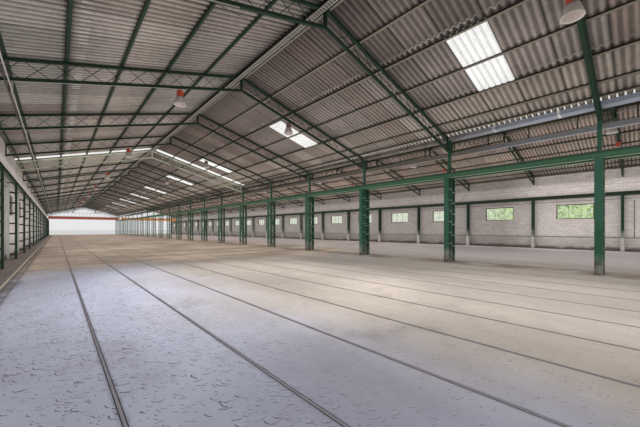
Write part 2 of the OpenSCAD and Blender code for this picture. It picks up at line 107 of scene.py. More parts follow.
# Fine parts that only this script builds
ROD_SHRINK = 0.98                           # keeps the faces of the second rods off the first ones'
TIE_T = 0.0006
TIE_SHORT = 0.0005                          # from a tie's end to the edge of the column
BAR_W = 0.0016
BAR_D = 0.0030
PIPE_LINE = 0.0862                          # height of the wall's conduit over the floor
PIPE_H = 0.0032
PIPE_D = 0.0030
RISER_W = 0.0036
RISER_TOP = 0.33
RISER_BACK = 0.054                          # distance before frame 1
STRAP_W = 0.0040
STRAP_GAP = 0.0002
BELL_RINGS = 7
BELL_SIDES = 28
BELL_T = 0.0007
BELL_CURVE = 0.75                           # below 1 the bell widens fastest at its neck
RIB_DEPTH = 0.03                            # share of the bell's radius
FLAT_CABLE_W = 0.0014
FLAT_CABLE_D = 0.0022
FLAT_CABLE_BACK = 0.0015                    # distance before the middle of the rafter
FLAT_CABLE_DROP = 0.0008
FLAT_CABLE_ENDS = (HALF_SPAN - 0.004, 0.250)    # distances from the ridge

# Derived dimensions
END_Y = BAYS * BAY / 2
RIDGE_X = MID_DEPTH / 2 + HALF_SPAN
WALL_X = RIDGE_X + HALF_SPAN
RIDGE_Z = FLOOR_Z + RIDGE_H
FALL = (RIDGE_H - EAVE_H) / HALF_SPAN
PITCH = math.atan(FALL)
COS, SIN = math.cos(PITCH), math.sin(PITCH)
SLOPE_LEN = HALF_SPAN / COS
ROD_START = TRAY_OFF + TRAY_W / 2 + ROD_GAP
COLUMN_Z = FLOOR_Z + COLUMN_H
LIGHT_FRAMES = range(1, BAYS, 2)            # frames with lamps, and with a rooflight beyond each
DUCT_D = (PURLIN_FIRST + DUCT_PURLIN * PURLIN_PITCH) * COS
DUCT_TOP = RIDGE_Z - FALL * DUCT_D - RAFTER_D - DUCT_DROP
LEFT, RIGHT = -1, 1


def frame_y(i):
    """Place of frame i along the hall."""
    return -END_Y + i * BAY


def slope_point(nave, side, s, y, height):
    """Hall point of a slope's own place: s down the slope, height out of the roof."""
    x = nave * RIDGE_X + side * (s * COS + height * SIN)
    return np.stack([x + 0 * y, y + 0 * x, RIDGE_Z - s * SIN + height * COS + 0 * y], axis=-1)


def list_slopes():
    """Every roof slope: its nave, its side of the ridge, whether it falls to the gutter, and its name."""
    for nave, nave_name in ((LEFT, "left"), (RIGHT, "right")):
        for side in (LEFT, RIGHT):
            inner = nave * side < 0
            yield nave, side, inner, "%s_%s" % (nave_name, "inner" if inner else "outer")


SLOPES = list(list_slopes())


# Meshes

def make_piece(name, verts, faces, material, slot, body="hall", replaced=()):
    """A mesh piece from arrays of points and of four-cornered faces, riding on a body."""
    mesh = bpy.data.meshes.new(name)
    verts = np.asarray(verts, np.float32).reshape(-1, 3)
    faces = np.asarray(faces, np.int32).reshape(-1, 4)
    mesh.vertices.add(len(verts))
    mesh.vertices.foreach_set("co", verts.ravel())
    mesh.loops.add(faces.size)
    mesh.loops.foreach_set("vertex_index", faces.ravel())
    mesh.polygons.add(len(faces))
    mesh.polygons.foreach_set("loop_start", np.arange(0, faces.size, 4, dtype=np.int32))
    mesh.update(calc_edges=True)
    mesh.validate()
    piece = bpy.data.objects.new(name, mesh)
    bpy.context.scene.collection.objects.link(piece)
    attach(piece, body)
    if replaced:
        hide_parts(*replaced)
    mesh.materials.append(material)


class Parts:
    """Collects points and four-cornered faces of many small solids for one piece."""

    def __init__(self):
        self.verts, self.faces, self.count = [], [], 0

    def add(self, verts, faces):
        """One more solid. Its faces count its own points from 0."""
        verts = np.asarray(verts, float).reshape(-1, 3)
        self.verts.append(verts)
        self.faces.append(np.asarray(faces, int).reshape(-1, 4) + self.count)
        self.count += len(verts)

    def piece(self, name, material, slot, **rest):
        """All the solids as one piece."""
        make_piece(name, np.concatenate(self.verts), np.concatenate(self.faces), material, slot, **rest)


BOX_FACES = [[0, 2, 3, 1], [4, 5, 7, 6], [0, 1, 5, 4], [2, 6, 7, 3], [0, 4, 6, 2], [1, 3, 7, 5]]
BAR_FACES = [[0, 1, 3, 2], [4, 6, 7, 5], [0, 4, 5, 1], [2, 3, 7, 6], [0, 2, 6, 4], [1, 5, 7, 3]]


def add_box(parts, low, high):
    """A box between its lowest and its highest corner."""
    corners = [[x, y, z] for z in (low[2], high[2]) for y in (low[1], high[1]) for x in (low[0], high[0])]
    parts.add(corners, BOX_FACES)


def add_bar(parts, start, end, width, depth, across=(0, 1, 0)):
    """A straight four-sided bar between two points. Its depth lies along across, its width beside that."""
    start, end, across = Vector(start), Vector(end), Vector(across).normalized()
    side = (end - start).cross(across).normalized() * width / 2
    half = across * depth / 2
    corners = [p + a * side + b * half for p in (start, end) for a in (-1, 1) for b in (-1, 1)]
    parts.add([list(corner) for corner in corners], BAR_FACES)


# Corrugated sheeting

WAVES = 6                                   # corrugations that one sheet covers
COVER = 2 * BAY / 9                         # nine sheets fill two bays, so that the rooflights fit
WAVE = COVER / WAVES
SHEET_T = 0.0005
STEPS = 8                                   # flat strips in one corrugation
THIN_STRIP = WAVE / STEPS
AMPLITUDE = (SHEET_DEPTH - 3 * SHEET_T) / 2
END_LAP = 0.015
ROOF_END = END_Y + GABLE_OUT
LIGHT_EDGE = frame_y(1) + LIGHT_OFF + LIGHT_STAGGER     # an edge of a rooflight, so a seam of the sheets
ROW_STARTS = [RIDGE_GAP, PURLIN_FIRST + 2 * PURLIN_PITCH, PURLIN_FIRST + 4 * PURLIN_PITCH]
LIGHT_ROW = 1


def wave_height(y):
    """The corrugation's height over its middle."""
    return AMPLITUDE * np.cos(2 * math.pi * (y - LIGHT_EDGE) / WAVE)


def add_sheet(parts, nave, side, s0, s1, y0, y1):
    """One sheet as a closed shell. Its foot and its far edge rise by its own thickness, over the next."""
    n = max(2, round((y1 - y0) / WAVE * STEPS)) + 1
    y = np.linspace(y0, y1, n)
    low = PURLIN_H + SHEET_T / 2 + AMPLITUDE + wave_height(y) + SHEET_T * np.linspace(0, 1, n)
    rows = [slope_point(nave, side, s, y, low + lift + skin)
            for skin in (-SHEET_T / 2, SHEET_T / 2) for s, lift in ((s0, 0), (s1, SHEET_T))]
    k = np.arange(n - 1)
    a, b, c, d = (k + r * n for r in range(4))
    faces = [np.stack(f, -1) for f in ((a, a + 1, b + 1, b), (c, d, d + 1, c + 1),
                                       (a, c, c + 1, a + 1), (b, b + 1, d + 1, d))]
    last = n - 1
    rims = [[0, n, 3 * n, 2 * n], [last, 2 * n + last, 3 * n + last, n + last]]
    faces.append(np.array(rims))
    parts.add(np.concatenate(rows), np.concatenate(faces))


def sheet_spans():
    """Start and end of every sheet along the hall, cut at the roof's ends."""
    first = math.floor((-ROOF_END - LIGHT_EDGE) / COVER)
    last = math.ceil((ROOF_END - LIGHT_EDGE) / COVER)
    for k in range(first, last):
        y0, y1 = LIGHT_EDGE + k * COVER, LIGHT_EDGE + (k + 1) * COVER
        yield max(y0, -ROOF_END), min(y1 + WAVE / 2, ROOF_END)


def light_spans(nave, inner, row):
    """Start and end of the translucent sheets in one row of a slope."""
    spans = []
    if inner and row == LIGHT_ROW:
        for i in LIGHT_FRAMES:
            start = frame_y(i) + LIGHT_OFF + (LIGHT_STAGGER if i % 4 == 1 else 0)
            spans.append((start, start + COVER))
    if nave == LEFT:
        end = frame_y(CROSS_FRAME) - CROSS_OFF
        spans.append((end - CROSS_W, end))
    return spans


def cut_span(y0, y1, gaps):
    """What is left of a span of sheeting between gaps."""
    left = [(y0, y1)]
    for g0, g1 in gaps:
        left = [part for a, b in left for part in ((a, min(b, g0)), (max(a, g1), b))
                if part[1] - part[0] > THIN_STRIP]
    return left


def slope_rows(inner):
    """Head and foot of every row of sheets, measured down the slope."""
    reach = (RIDGE_X - VALLEY_HALF + VALLEY_LAP if inner else HALF_SPAN + WALL_T + EAVE_OUT) / COS
    feet = [start + END_LAP for start in ROW_STARTS[1:]] + [reach]
    return list(zip(ROW_STARTS, feet))


def build_roof():
    """Corrugated sheets in place of the part's four plates, with translucent ones for the rooflights."""
    lights = Parts()
    for nave, side, inner, name in SLOPES:
        sheets = Parts()
        for row, (s0, s1) in enumerate(slope_rows(inner)):
            gaps = light_spans(nave, inner, row)
            for y0, y1 in sheet_spans():
                for a, b in cut_span(y0, y1, gaps):
                    add_sheet(sheets, nave, side, s0, s1, a, b)
            for a, b in gaps:
                add_sheet(lights, nave, side, s0, s1, a, b)
        sheets.piece("sheeting_" + name, fibre_cement(nave, side, inner), "fibre_cement",
                     replaced=["roof_" + name])
    lights.piece("light_sheeting", looks["rooflight_sheet"], "rooflight_sheet", replaced=["rooflights"])


# Fine steelwork

def build_rods():
    """The second rods of the rafters, which cross those of the part."""
    for nave, side, inner, name in SLOPES:
        reach = RIDGE_X - VALLEY_HALF if inner else HALF_SPAN
        step = (reach - UPRIGHT_W / 2 - ROD_START) / PANELS
        mid = RAFTER_BAR / 2 / COS
        parts = Parts()
        for i in range(BAYS + 1):
            feet = []
            for k in range(PANELS + 1):
                d = ROD_START + k * step
                drop = mid if k % 2 else RAFTER_D - mid
                feet.append((nave * RIDGE_X + side * d, frame_y(i) + ROD_T, RIDGE_Z - FALL * d - drop))
            for a, b in zip(feet, feet[1:]):
                add_bar(parts, a, b, ROD_T, ROD_T * ROD_SHRINK)
        parts.piece("cross_rods_" + name, looks["dark_green_steel"], "dark_green_steel")


def build_column_ties():
    """The flat ties of the middle columns, which lie on the flanges of the channels."""
    parts = Parts()
    core, edge = SHAFT_W / 2, MID_DEPTH / 2 - TIE_SHORT
    low = PLATE_T + BATTEN_PITCH / 2 - BATTEN_H
    count = int((COLUMN_H - PLATE_T - BATTEN_H - TIE_STEP - low) / BATTEN_PITCH) + 1
    for i in range(BAYS + 1):
        for k in range(count):
            for x0, x1, lift in ((-edge, core, TIE_STEP), (-core, edge, 0)):
                z = FLOOR_Z + low + k * BATTEN_PITCH + lift
                for face in (-1, 1):
                    y = sorted((face * MID_W / 2, face * (MID_W / 2 + TIE_T)))
                    add_box(parts, (x0, frame_y(i) + y[0], z), (x1, frame_y(i) + y[1], z + BATTEN_H))
    parts.piece("column_ties", tie_paint(), "green_steel")


def build_window_bars():
    """Two upright bars in every window."""
    parts = Parts()
    low = FLOOR_Z + SILL_H + WINDOW_FRAME_W
    high = FLOOR_Z + SILL_H + WIN_H - WINDOW_FRAME_W
    for side in (LEFT, RIGHT):
        x = side * (WALL_X + WALL_T / 2)
        for i in range(BAYS):
            for share in (-1 / 6, 1 / 6):
                y = frame_y(i) + BAY / 2 + share * WIN_W
                add_box(parts, (x - BAR_D / 2, y - BAR_W / 2, low), (x + BAR_D / 2, y + BAR_W / 2, high))
    parts.piece("window_bars", looks["window_steel"], "window_steel")


def build_wall_conduits():
    """The thin conduit low along the right wall, and a riser just before the post of frame 1."""
    parts = Parts()
    z, rise_y = FLOOR_Z + PIPE_LINE, frame_y(1) - RISER_BACK
    add_box(parts, (WALL_X - PIPE_D, -END_Y, z), (WALL_X, END_Y, z + PIPE_H))
    add_box(parts, (WALL_X - RISER_W, rise_y, z), (WALL_X, rise_y + RISER_W, FLOOR_Z + RISER_TOP))
    parts.piece("wall_conduits", plain_surface("old_conduit", (112, 104, 98), 0.2, 30), "tray_metal")


def build_duct_straps():
    """Dark flat straps that wrap the hangers of the duct."""
    parts = Parts()
    count = BAYS * DUCT_HANGERS
    x, half = RIDGE_X - DUCT_D, STRAP_W / 2
    top = RIDGE_Z - FALL * (DUCT_D + half)
    for k in range(count):
        y = -END_Y + (k + 0.5) * BAYS * BAY / count
        add_box(parts, (x - half, y - half, DUCT_TOP + STRAP_GAP), (x + half, y + half, top))
    parts.piece("duct_straps", plain_surface("strap_steel", (52, 50, 42), 0.3, 40), "dark_green_steel")


def bell_shell():
    """Points and faces of one open ribbed bell, which hangs from the origin."""
    turn = np.linspace(0, 2 * math.pi, BELL_SIDES, endpoint=False)
    rib = 1 - RIB_DEPTH * (np.arange(BELL_SIDES) % 2)
    share = np.linspace(0, 1, BELL_RINGS)
    radius = HOUSING_DIA / 2 + (REFLECTOR_DIA - HOUSING_DIA) / 2 * share ** BELL_CURVE
    drop = REFLECTOR_H * share
    profile = list(zip(radius, drop)) + list(zip(radius[::-1] - BELL_T, drop[::-1]))
    points = np.array([[r * c * k, r * s * k, -z] for r, z in profile
                       for c, s, k in zip(np.cos(turn), np.sin(turn), rib)])
    faces = []
    for ring in range(len(profile)):
        a, b = ring * BELL_SIDES, (ring + 1) % len(profile) * BELL_SIDES
        for j in range(BELL_SIDES):
            k = (j + 1) % BELL_SIDES
            faces.append([a + j, a + k, b + k, b + j])
    return points, faces


def build_lamps():
    """Open ribbed bells in place of the part's closed ones."""
    parts = Parts()
    points, faces = bell_shell()
    top = RIDGE_Z - FALL * (LAMP_OFF + STEM_DIA / 2) - RAFTER_D - STEM_LEN - HOUSING_H
    for nave in (LEFT, RIGHT):
        for side in (LEFT, RIGHT):
            for i in LIGHT_FRAMES:
                place = np.array([nave * RIDGE_X + side * LAMP_OFF, frame_y(i), top])
                parts.add(points + place, faces)
    parts.piece("lamp_bells", looks["lamp_reflector"], "lamp_reflector", replaced=["lamp_reflectors"])


# Slack cables of the left nave, from rafter to rafter: bay, offset and drop from the ridge line
CABLES = (
    ((2.005, -0.365, -0.155), (2.10, -0.303, -0.106), (2.16, -0.233, -0.083), (2.21, -0.146, -0.060),
     (2.25, -0.051, -0.036), (2.26, 0.027, -0.032), (2.24, 0.075, -0.042), (2.18, 0.163, -0.066),
     (2.005, 0.215, -0.112)),
    ((4.00, -0.350, -0.150), (4.30, -0.160, -0.162), (4.65, 0.070, -0.156), (5.00, 0.280, -0.130)),
    ((7.00, -0.300, -0.136), (7.35, -0.100, -0.152), (7.65, 0.100, -0.150), (8.00, 0.300, -0.136)),
)
CABLE_DIA = 0.0009
CABLE_STEPS = 24                            # straight pieces in one cable


def smooth_route(points, steps):
    """Points along one Catmull-Rom curve through the given ones."""
    points = np.array(points)
    before, after = 2 * points[0] - points[1], 2 * points[-1] - points[-2]
    points = np.concatenate([[before], points, [after]])
    route = []
    for t in np.linspace(0, len(points) - 3, steps + 1):
        k = min(int(t), len(points) - 4)
        a, b, c, d = points[k:k + 4]
        u = t - k
        route.append(b + (c - a) * u / 2 + (2 * a - 5 * b + 4 * c - d) * u ** 2 / 2
                     + (3 * b - a - 3 * c + d) * u ** 3 / 2)
    return route


def build_cables():
    """Thin slack cables under the roof."""
    parts = Parts()
    for cable in CABLES:
        points = [(x - RIDGE_X, -END_Y + bay * BAY, RIDGE_Z + z) for bay, x, z in cable]
        route = smooth_route(points, CABLE_STEPS)
        for a, b in zip(route, route[1:]):
            add_bar(parts, a, b, CABLE_DIA, CABLE_DIA)
    parts.piece("slack_cables", plain_surface("cable_black", (48, 42, 38), 0.1, 40), "dark_green_steel")


def build_rafter_cable():
    """The flat pale cable along the underside of the left outer rafters."""
    parts = Parts()
    for i in range(1, BAYS):
        y = frame_y(i) - FLAT_CABLE_BACK
        ends = [(-RIDGE_X - d, y, RIDGE_Z - FALL * d - RAFTER_D - FLAT_CABLE_DROP) for d in FLAT_CABLE_ENDS]
        add_bar(parts, ends[0], ends[1], FLAT_CABLE_W, FLAT_CABLE_D)
    parts.piece("rafter_cables", plain_surface("cable_pale", (150, 148, 138), 0.2, 40), "tray_metal")


# Materials

def srgb(r, g, b):
    """A colour as it reads on screen, 0 to 255, as linear values."""
    def linear(c):
        c /= 255
        return c / 12.92 if c <= 0.04045 else ((c + 0.055) / 1.055) ** 2.4
    return (linear(r), linear(g), linear(b), 1.0)


class Look:
    """A material with one Principled shader and short calls for the nodes that feed it.

    x, y and z are the hall's own axes, ny and nz the way that a face looks along two of them.
    """

    def __init__(self, name, roughness=0.6):
        self.material = bpy.data.materials.new(name)
        self.material.use_nodes = True
        self.tree = self.material.node_tree
        self.shader = self.tree.nodes["Principled BSDF"]
        self.shader.inputs["Roughness"].default_value = roughness
        self.place = self.add("ShaderNodeTexCoord").outputs["Object"]
        self.x, self.y, self.z = self.add("ShaderNodeSeparateXYZ", {}, {"Vector": self.place}).outputs
        facing = self.add("ShaderNodeNewGeometry").outputs["True Normal"]
        self.ny, self.nz = self.add("ShaderNodeSeparateXYZ", {}, {"Vector": facing}).outputs[1:]

    def add(self, kind, settings=None, inputs=None):
        """A node of a kind, with its settings and with values or links for its inputs."""
        node = self.tree.nodes.new(kind)
        for key, value in (settings or {}).items():
            setattr(node, key, value)
        for key, value in (inputs or {}).items():
            self.feed(node.inputs[key], value)
        return node

    def feed(self, socket, value):
        """Links an output to an input, or sets the input's own value."""
        if isinstance(value, bpy.types.NodeSocket):
            self.tree.links.new(value, socket)
        else:
            socket.default_value = value

    def math(self, operation, a, b=0.0):
        return self.add("ShaderNodeMath", {"operation": operation}, {0: a, 1: b}).outputs[0]

    def plus(self, a, b):
        return self.math("ADD", a, b)

    def minus(self, a, b):
        return self.math("SUBTRACT", a, b)

    def times(self, a, b):
        return self.math("MULTIPLY", a, b)

    def over(self, a, b):
        return self.math("DIVIDE", a, b)

    def absolute(self, a):
        return self.math("ABSOLUTE", a)

    def apart(self, a, b):
        """How far two values lie apart."""
        return self.absolute(self.minus(a, b))

    def from_nearest(self, value):
        """How far value lies from the nearest whole number."""
        return self.apart(self.math("FRACT", self.plus(value, 0.5)), 0.5)

    def above(self, value, limit):
        """1 where value is more than limit, 0 elsewhere."""
        return self.math("GREATER_THAN", value, limit)

    def below(self, value, limit):
        """1 where value is less than limit, 0 elsewhere."""
        return self.math("LESS_THAN", value, limit)

    def between(self, value, start, end):
        """0 on start's side of the span, 1 on end's side, and a soft step from one to the other."""
        return self.add("ShaderNodeMapRange", {"interpolation_type": "SMOOTHSTEP"}, {
            "Value": value, "From Min": start, "From Max": end}).outputs["Result"]

    def inward(self, start, end):
        """A soft step along the hall, from one frame to another."""
        return self.between(self.y, frame_y(start), frame_y(end))

    def facing_down(self):
        """1 on faces that look down, 0 on upright ones."""
        return self.between(self.nz, -0.5, -0.9)

    def vector(self, x, y, z=0.0):
        return self.add("ShaderNodeCombineXYZ", {}, {0: x, 1: y, 2: z}).outputs[0]

    def stretched(self, scale):
        """The hall's place, scaled apart on each axis."""
        return self.add("ShaderNodeMapping", {}, {"Vector": self.place, "Scale": scale}).outputs[0]

    def noise(self, scale, detail=4.0, rough=0.55, vector=None):
        return self.add("ShaderNodeTexNoise", {}, {
            "Vector": vector or self.place, "Scale": scale, "Detail": detail,
            "Roughness": rough}).outputs["Fac"]

    def patches(self, scale, detail, start, end, rough=0.55):
        """Noise cut to soft-edged patches."""
        return self.between(self.noise(scale, detail, rough), start, end)

    def ragged(self, value, depth, scale, detail=4.0):
        """A value with noise on top, which breaks up the lines that are drawn by it."""
        return self.plus(value, self.times(self.noise(scale, detail), depth))

    def chance(self, vector):
        """A number from 0 to 1 that is one draw for each vector."""
        dice = self.add("ShaderNodeTexWhiteNoise", {"noise_dimensions": "3D"}, {"Vector": vector})
        return dice.outputs["Value"]

    def mix(self, share, a, b, blend="MIX"):
        """Colour a where share is 0, colour b where it is 1."""
        node = self.add("ShaderNodeMix", {"data_type": "RGBA", "blend_type": blend})
        self.feed(node.inputs[0], share)
        self.feed(node.inputs[6], a)
        self.feed(node.inputs[7], b)
        return node.outputs[2]

    def shade(self, colour, value, low, high):
        """Colour times a grey that runs from low to high with value."""
        grey = self.add("ShaderNodeMapRange", {}, {"Value": value, "To Min": low, "To Max": high}).outputs[0]
        return self.mix(1.0, colour, self.vector(grey, grey, grey), "MULTIPLY")

    def bump(self, height, distance, strength):
        node = self.add("ShaderNodeBump", {}, {"Height": height, "Distance": distance, "Strength": strength})
        self.tree.links.new(node.outputs[0], self.shader.inputs["Normal"])

    def glow(self, colour, strength):
        self.feed(self.shader.inputs["Emission Color"], colour)
        self.feed(self.shader.inputs["Emission Strength"], strength)

    def finish(self, colour):
        self.feed(self.shader.inputs["Base Color"], colour)
        return self.material


def plain_surface(name, colour, spread=0.15, scale=20, roughness=0.8):
    """One colour, lighter and darker by its spread, with a fine grain."""
    look = Look(name, roughness)
    tone = look.shade(srgb(*colour), look.noise(scale, 6, 0.6), 1 - spread, 1 + spread)
    look.bump(look.noise(scale * 8, 3), 0.0004, 0.4)
    return look.finish(tone)


# Paints of the steelwork

PURLIN_CLEAR = 0.0004                       # between the rafters' upper line and what counts as purlin
LIT_RAFTER_HALF = 0.012                           # half the zone of the rafter with painted light from the rooflight, along the hall
LIT_RAFTER_FOOT = FLOOR_Z + 0.45
POST_ZONE = 0.060                           # from the right wall to the inner side of its posts
FADE_TOP, FADE_FULL = FLOOR_Z + 0.20, FLOOR_Z + 0.15
WHITE_TOP = COLUMN_Z - 0.004
RUST_TOP, RUST_FULL = FLOOR_Z + 0.12, FLOOR_Z + 0.06
LOWER_FLANGE = COLUMN_Z + 0.0016
UPPER_FLANGE = COLUMN_Z + GIRDER_D - 0.0017


def steel_paint(look, paint, worn):
    """Old paint with blotches, and chips down to the worn colour under it."""
    colour = look.shade(srgb(*paint), look.noise(9, 6, 0.6), 0.65, 1.35)
    colour = look.shade(colour, look.noise(90, 3, 0.6), 0.85, 1.15)
    chips = look.patches(60, 5, 0.60, 0.70, rough=0.7)
    look.bump(look.noise(220, 3), 0.0003, 0.4)
    return look.mix(chips, colour, srgb(*worn))


def over_rafters(look):
    """1 above the upper line of the rafters, where the purlins lie."""
    across = look.apart(look.absolute(look.x), RIDGE_X)
    line = look.minus(RIDGE_Z + PURLIN_CLEAR, look.times(across, FALL))
    return look.above(look.z, line)


def rooflight_lit_rafter(look, colour):
    """The left nave's rafter beside the crosswise rooflight is painted pale in patches: painted light from
    that rooflight.
    """
    beside = look.below(look.apart(look.y, frame_y(CROSS_FRAME)), LIT_RAFTER_HALF)
    pale = look.times(beside, look.below(look.x, 0.0))
    pale = look.times(pale, look.above(look.z, LIT_RAFTER_FOOT))
    whole = look.patches(26, 5, 0.25, 0.55, rough=0.7)
    return look.mix(look.times(pale, whole), colour, srgb(182, 188, 164))


def faded_posts(look, colour):
    """The feet of the right wall's posts are faded."""
    height = look.ragged(look.z, 0.10, 30)
    fade = look.times(look.between(height, FADE_TOP, FADE_FULL), look.above(look.x, WALL_X - POST_ZONE))
    return look.mix(look.times(fade, 0.7), colour, srgb(128, 132, 122))


def whitewashed_posts(look, colour):
    """The wall side of the left posts is whitewashed up to the girder."""
    white = look.times(look.below(look.x, -WALL_CHANNEL_X), look.below(look.z, WHITE_TOP))
    return look.mix(white, colour, srgb(176, 178, 176))


def dark_steel():
    """Rafters, ties and posts are near-black green, the purlins over them greener with painted shade on
    their sides, all dusty on top.
    """
    look = Look("dark_green_steel")
    colour = steel_paint(look, (14, 42, 27), (50, 68, 52))
    purlin = look.shade(srgb(22, 72, 48), look.noise(20, 4), 0.7, 1.3)
    # The purlins' upright sides are painted darker than their undersides, as shade
    purlin = look.shade(purlin, look.facing_down(), 0.35, 1.0)
    colour = look.mix(over_rafters(look), colour, purlin)
    dust = look.times(look.between(look.nz, 0.5, 0.9), 0.5)
    colour = look.mix(dust, colour, srgb(96, 90, 80))
    # Painted light from the crosswise rooflight on the rafter beside it
    colour = rooflight_lit_rafter(look, colour)
    colour = faded_posts(look, colour)
    return look.finish(whitewashed_posts(look, colour))


def column_steel():
    """Middle columns and shafts: mid green, lighter further in, with painted shade where they look along the
    hall.

    Their feet are grey and rusty.
    """
    look = Look("green_steel")
    colour = steel_paint(look, (24, 66, 46), (62, 86, 70))
    colour = look.mix(look.patches(3, 4, 0.4, 0.65), colour, srgb(34, 76, 60))
    colour = look.shade(colour, look.inward(2, 5), 1.0, 1.7)
    # Faces that look along the hall are painted darker, as shade
    colour = look.shade(colour, look.absolute(look.ny), 1.0, 0.40)
    foot = look.between(look.ragged(look.z, 0.10, 14), RUST_TOP, RUST_FULL)
    rust = look.mix(look.patches(40, 5, 0.45, 0.65), srgb(122, 121, 113), srgb(72, 58, 48))
    return look.finish(look.mix(foot, colour, rust))


def tie_paint():
    """The columns' ties, lighter than the columns."""
    look = Look("tie_paint", 0.5)
    return look.finish(steel_paint(look, (70, 92, 74), (110, 114, 100)))


def girder_paint():
    """Crane girders: green webs and a dusty light lower flange, with painted shade on the upper flange, on
    every face but the undersides, and on the girders beside the walls.
    """
    look = Look("girder_green", 0.45)
    colour = steel_paint(look, (74, 128, 94), (124, 142, 120))
    dust = look.times(look.below(look.z, LOWER_FLANGE), 0.7)
    colour = look.mix(dust, colour, srgb(128, 138, 116))
    # The upper flange is painted dark, as shade
    colour = look.shade(colour, look.above(look.z, UPPER_FLANGE), 1.0, 0.35)
    # Every face but the undersides is painted darker, as shade
    colour = look.shade(colour, look.facing_down(), 0.45, 1.0)
    # The girders beside the walls are painted darker, as shade
    shaded_at_wall = look.above(look.absolute(look.x), RIDGE_X)
    return look.finish(look.shade(colour, shaded_at_wall, 1.0, 0.28))


def purlin_steel():
    """Dusty brown-grey purlins: the flat web underneath is lighter, with dust and painted light from below,
    and the upright sides are painted dark, as shade.
    """
    look = Look("purlin_grey", 0.7)
    # Lighter undersides and darker sides: painted light and shade
    face = look.mix(look.facing_down(), srgb(46, 44, 36), srgb(112, 106, 92))
    return look.finish(look.shade(face, look.noise(30, 5), 0.7, 1.25))


# Sheets of the roof. Distances run down the slope from the ridge

ROW_TONES = {
    (LEFT, -1): ((128, 121, 116), (136, 128, 121), (124, 119, 113)),
    (LEFT, 1): ((97, 88, 84), (119, 110, 105), (142, 132, 124)),
    (RIGHT, -1): ((132, 120, 110), (138, 126, 114), (138, 126, 114)),
    (RIGHT, 1): ((136, 120, 110), (140, 126, 114), (136, 124, 114)),
}
LAP_LINES = (0.257, 0.518)
SCALLOP_DEPTH = 0.0022
SCALLOP_EDGE, SCALLOP_CORE = 0.0032, 0.0010
LEAK_START = (0.494, 0.499)
LEAK_END = (0.522, 0.514)
GUTTER_EDGE = SLOPE_LEN + 0.002


def corrugation(look):
    """1 on the upper crests of the sheets, -1 on their lower ones."""
    along = look.minus(look.y, LIGHT_EDGE)
    return look.math("COSINE", look.times(along, 2 * math.pi / WAVE))


def purlin_shade(look, s):
    """Painted shade on the sheets beside the purlins: 0 beside a purlin, 1 away from it."""
    spaces = look.over(look.minus(s, PURLIN_FIRST), PURLIN_PITCH)
    return look.between(look.from_nearest(spaces), 0.03, 0.10)


def lap_scallops(look, s, wave):
    """Pale dusty edge of the sheets' ends, which follows the corrugation in arcs."""
    marks = 0.0
    for line in LAP_LINES:
        off = look.apart(look.plus(s, look.times(wave, SCALLOP_DEPTH)), line)
        marks = look.math("MAXIMUM", look.between(off, SCALLOP_EDGE, SCALLOP_CORE), marks)
    return look.times(marks, look.patches(11, 4, 0.42, 0.58))


def leak_dashes(look, s, wave):
    """Pale lime runs over the lower lap of the left outer slope, one on each lower crest."""
    band = look.times(look.between(s, *LEAK_START), look.between(s, *LEAK_END))
    dashes = look.times(band, look.between(wave, 0.3, -0.3))
    return look.times(dashes, look.patches(16, 5, 0.35, 0.60, rough=0.6))


def sheet_tone(look, nave, side, s, covers):
    """The tone of each row, with every sheet a little lighter or darker, and some browner."""
    column = look.math("FLOOR", covers)
    row_1, row_2 = [look.above(s, start) for start in ROW_STARTS[1:]]
    tones = [srgb(*tone) for tone in ROW_TONES[(nave, side)]]
    colour = look.mix(row_2, look.mix(row_1, tones[0], tones[1]), tones[2])
    own = look.chance(look.vector(column, look.plus(row_1, row_2), nave * 3 + side))
    colour = look.shade(colour, own, 0.78, 1.20)
    brown = look.between(look.chance(look.vector(column, row_2, nave + 9)), 0.72, 0.95)
    return look.mix(look.times(brown, 0.4), colour, srgb(112, 94, 84))


def sheet_dirt_and_shade(look, colour, s, wave, covers, ribs):
    """Streaks down the slope, grain, lower crests lighter with dust and painted light, specks, dark side
    laps, and painted shade along the purlins.
    """
    streaks = look.vector(look.times(s, 3.0), look.times(look.y, 24.0))
    colour = look.shade(colour, look.noise(4, 5, 0.65, streaks), 0.62, 1.38)
    colour = look.shade(colour, look.noise(60, 6, 0.75), 0.58, 1.42)
    # Lower crests painted lighter, as dust and as light from below, and the upper ones darker
    colour = look.shade(colour, look.between(wave, -1.0, 1.0), ribs, 2 - ribs)
    specks = look.patches(150, 5, 0.58, 0.66, rough=0.8)
    colour = look.mix(look.times(specks, 0.45), colour, srgb(62, 54, 50))
    colour = look.shade(colour, look.between(look.from_nearest(covers), 0.012, 0.030), 0.55, 1.0)
    # Painted shade on the sheets along the purlins
    return look.shade(colour, purlin_shade(look, s), 0.62, 1.0)


def gutter_daylight(look, s, wave):
    """Uneven bright dashes where daylight comes in over the gutter, under the upper crests."""
    over_gutter = look.above(s, GUTTER_EDGE)
    uneven = look.plus(wave, look.times(look.noise(30, 4, 0.6), 0.5))
    daylight = look.times(over_gutter, look.between(uneven, 0.85, 1.15))
    look.glow(srgb(236, 232, 222), look.times(daylight, 0.8))


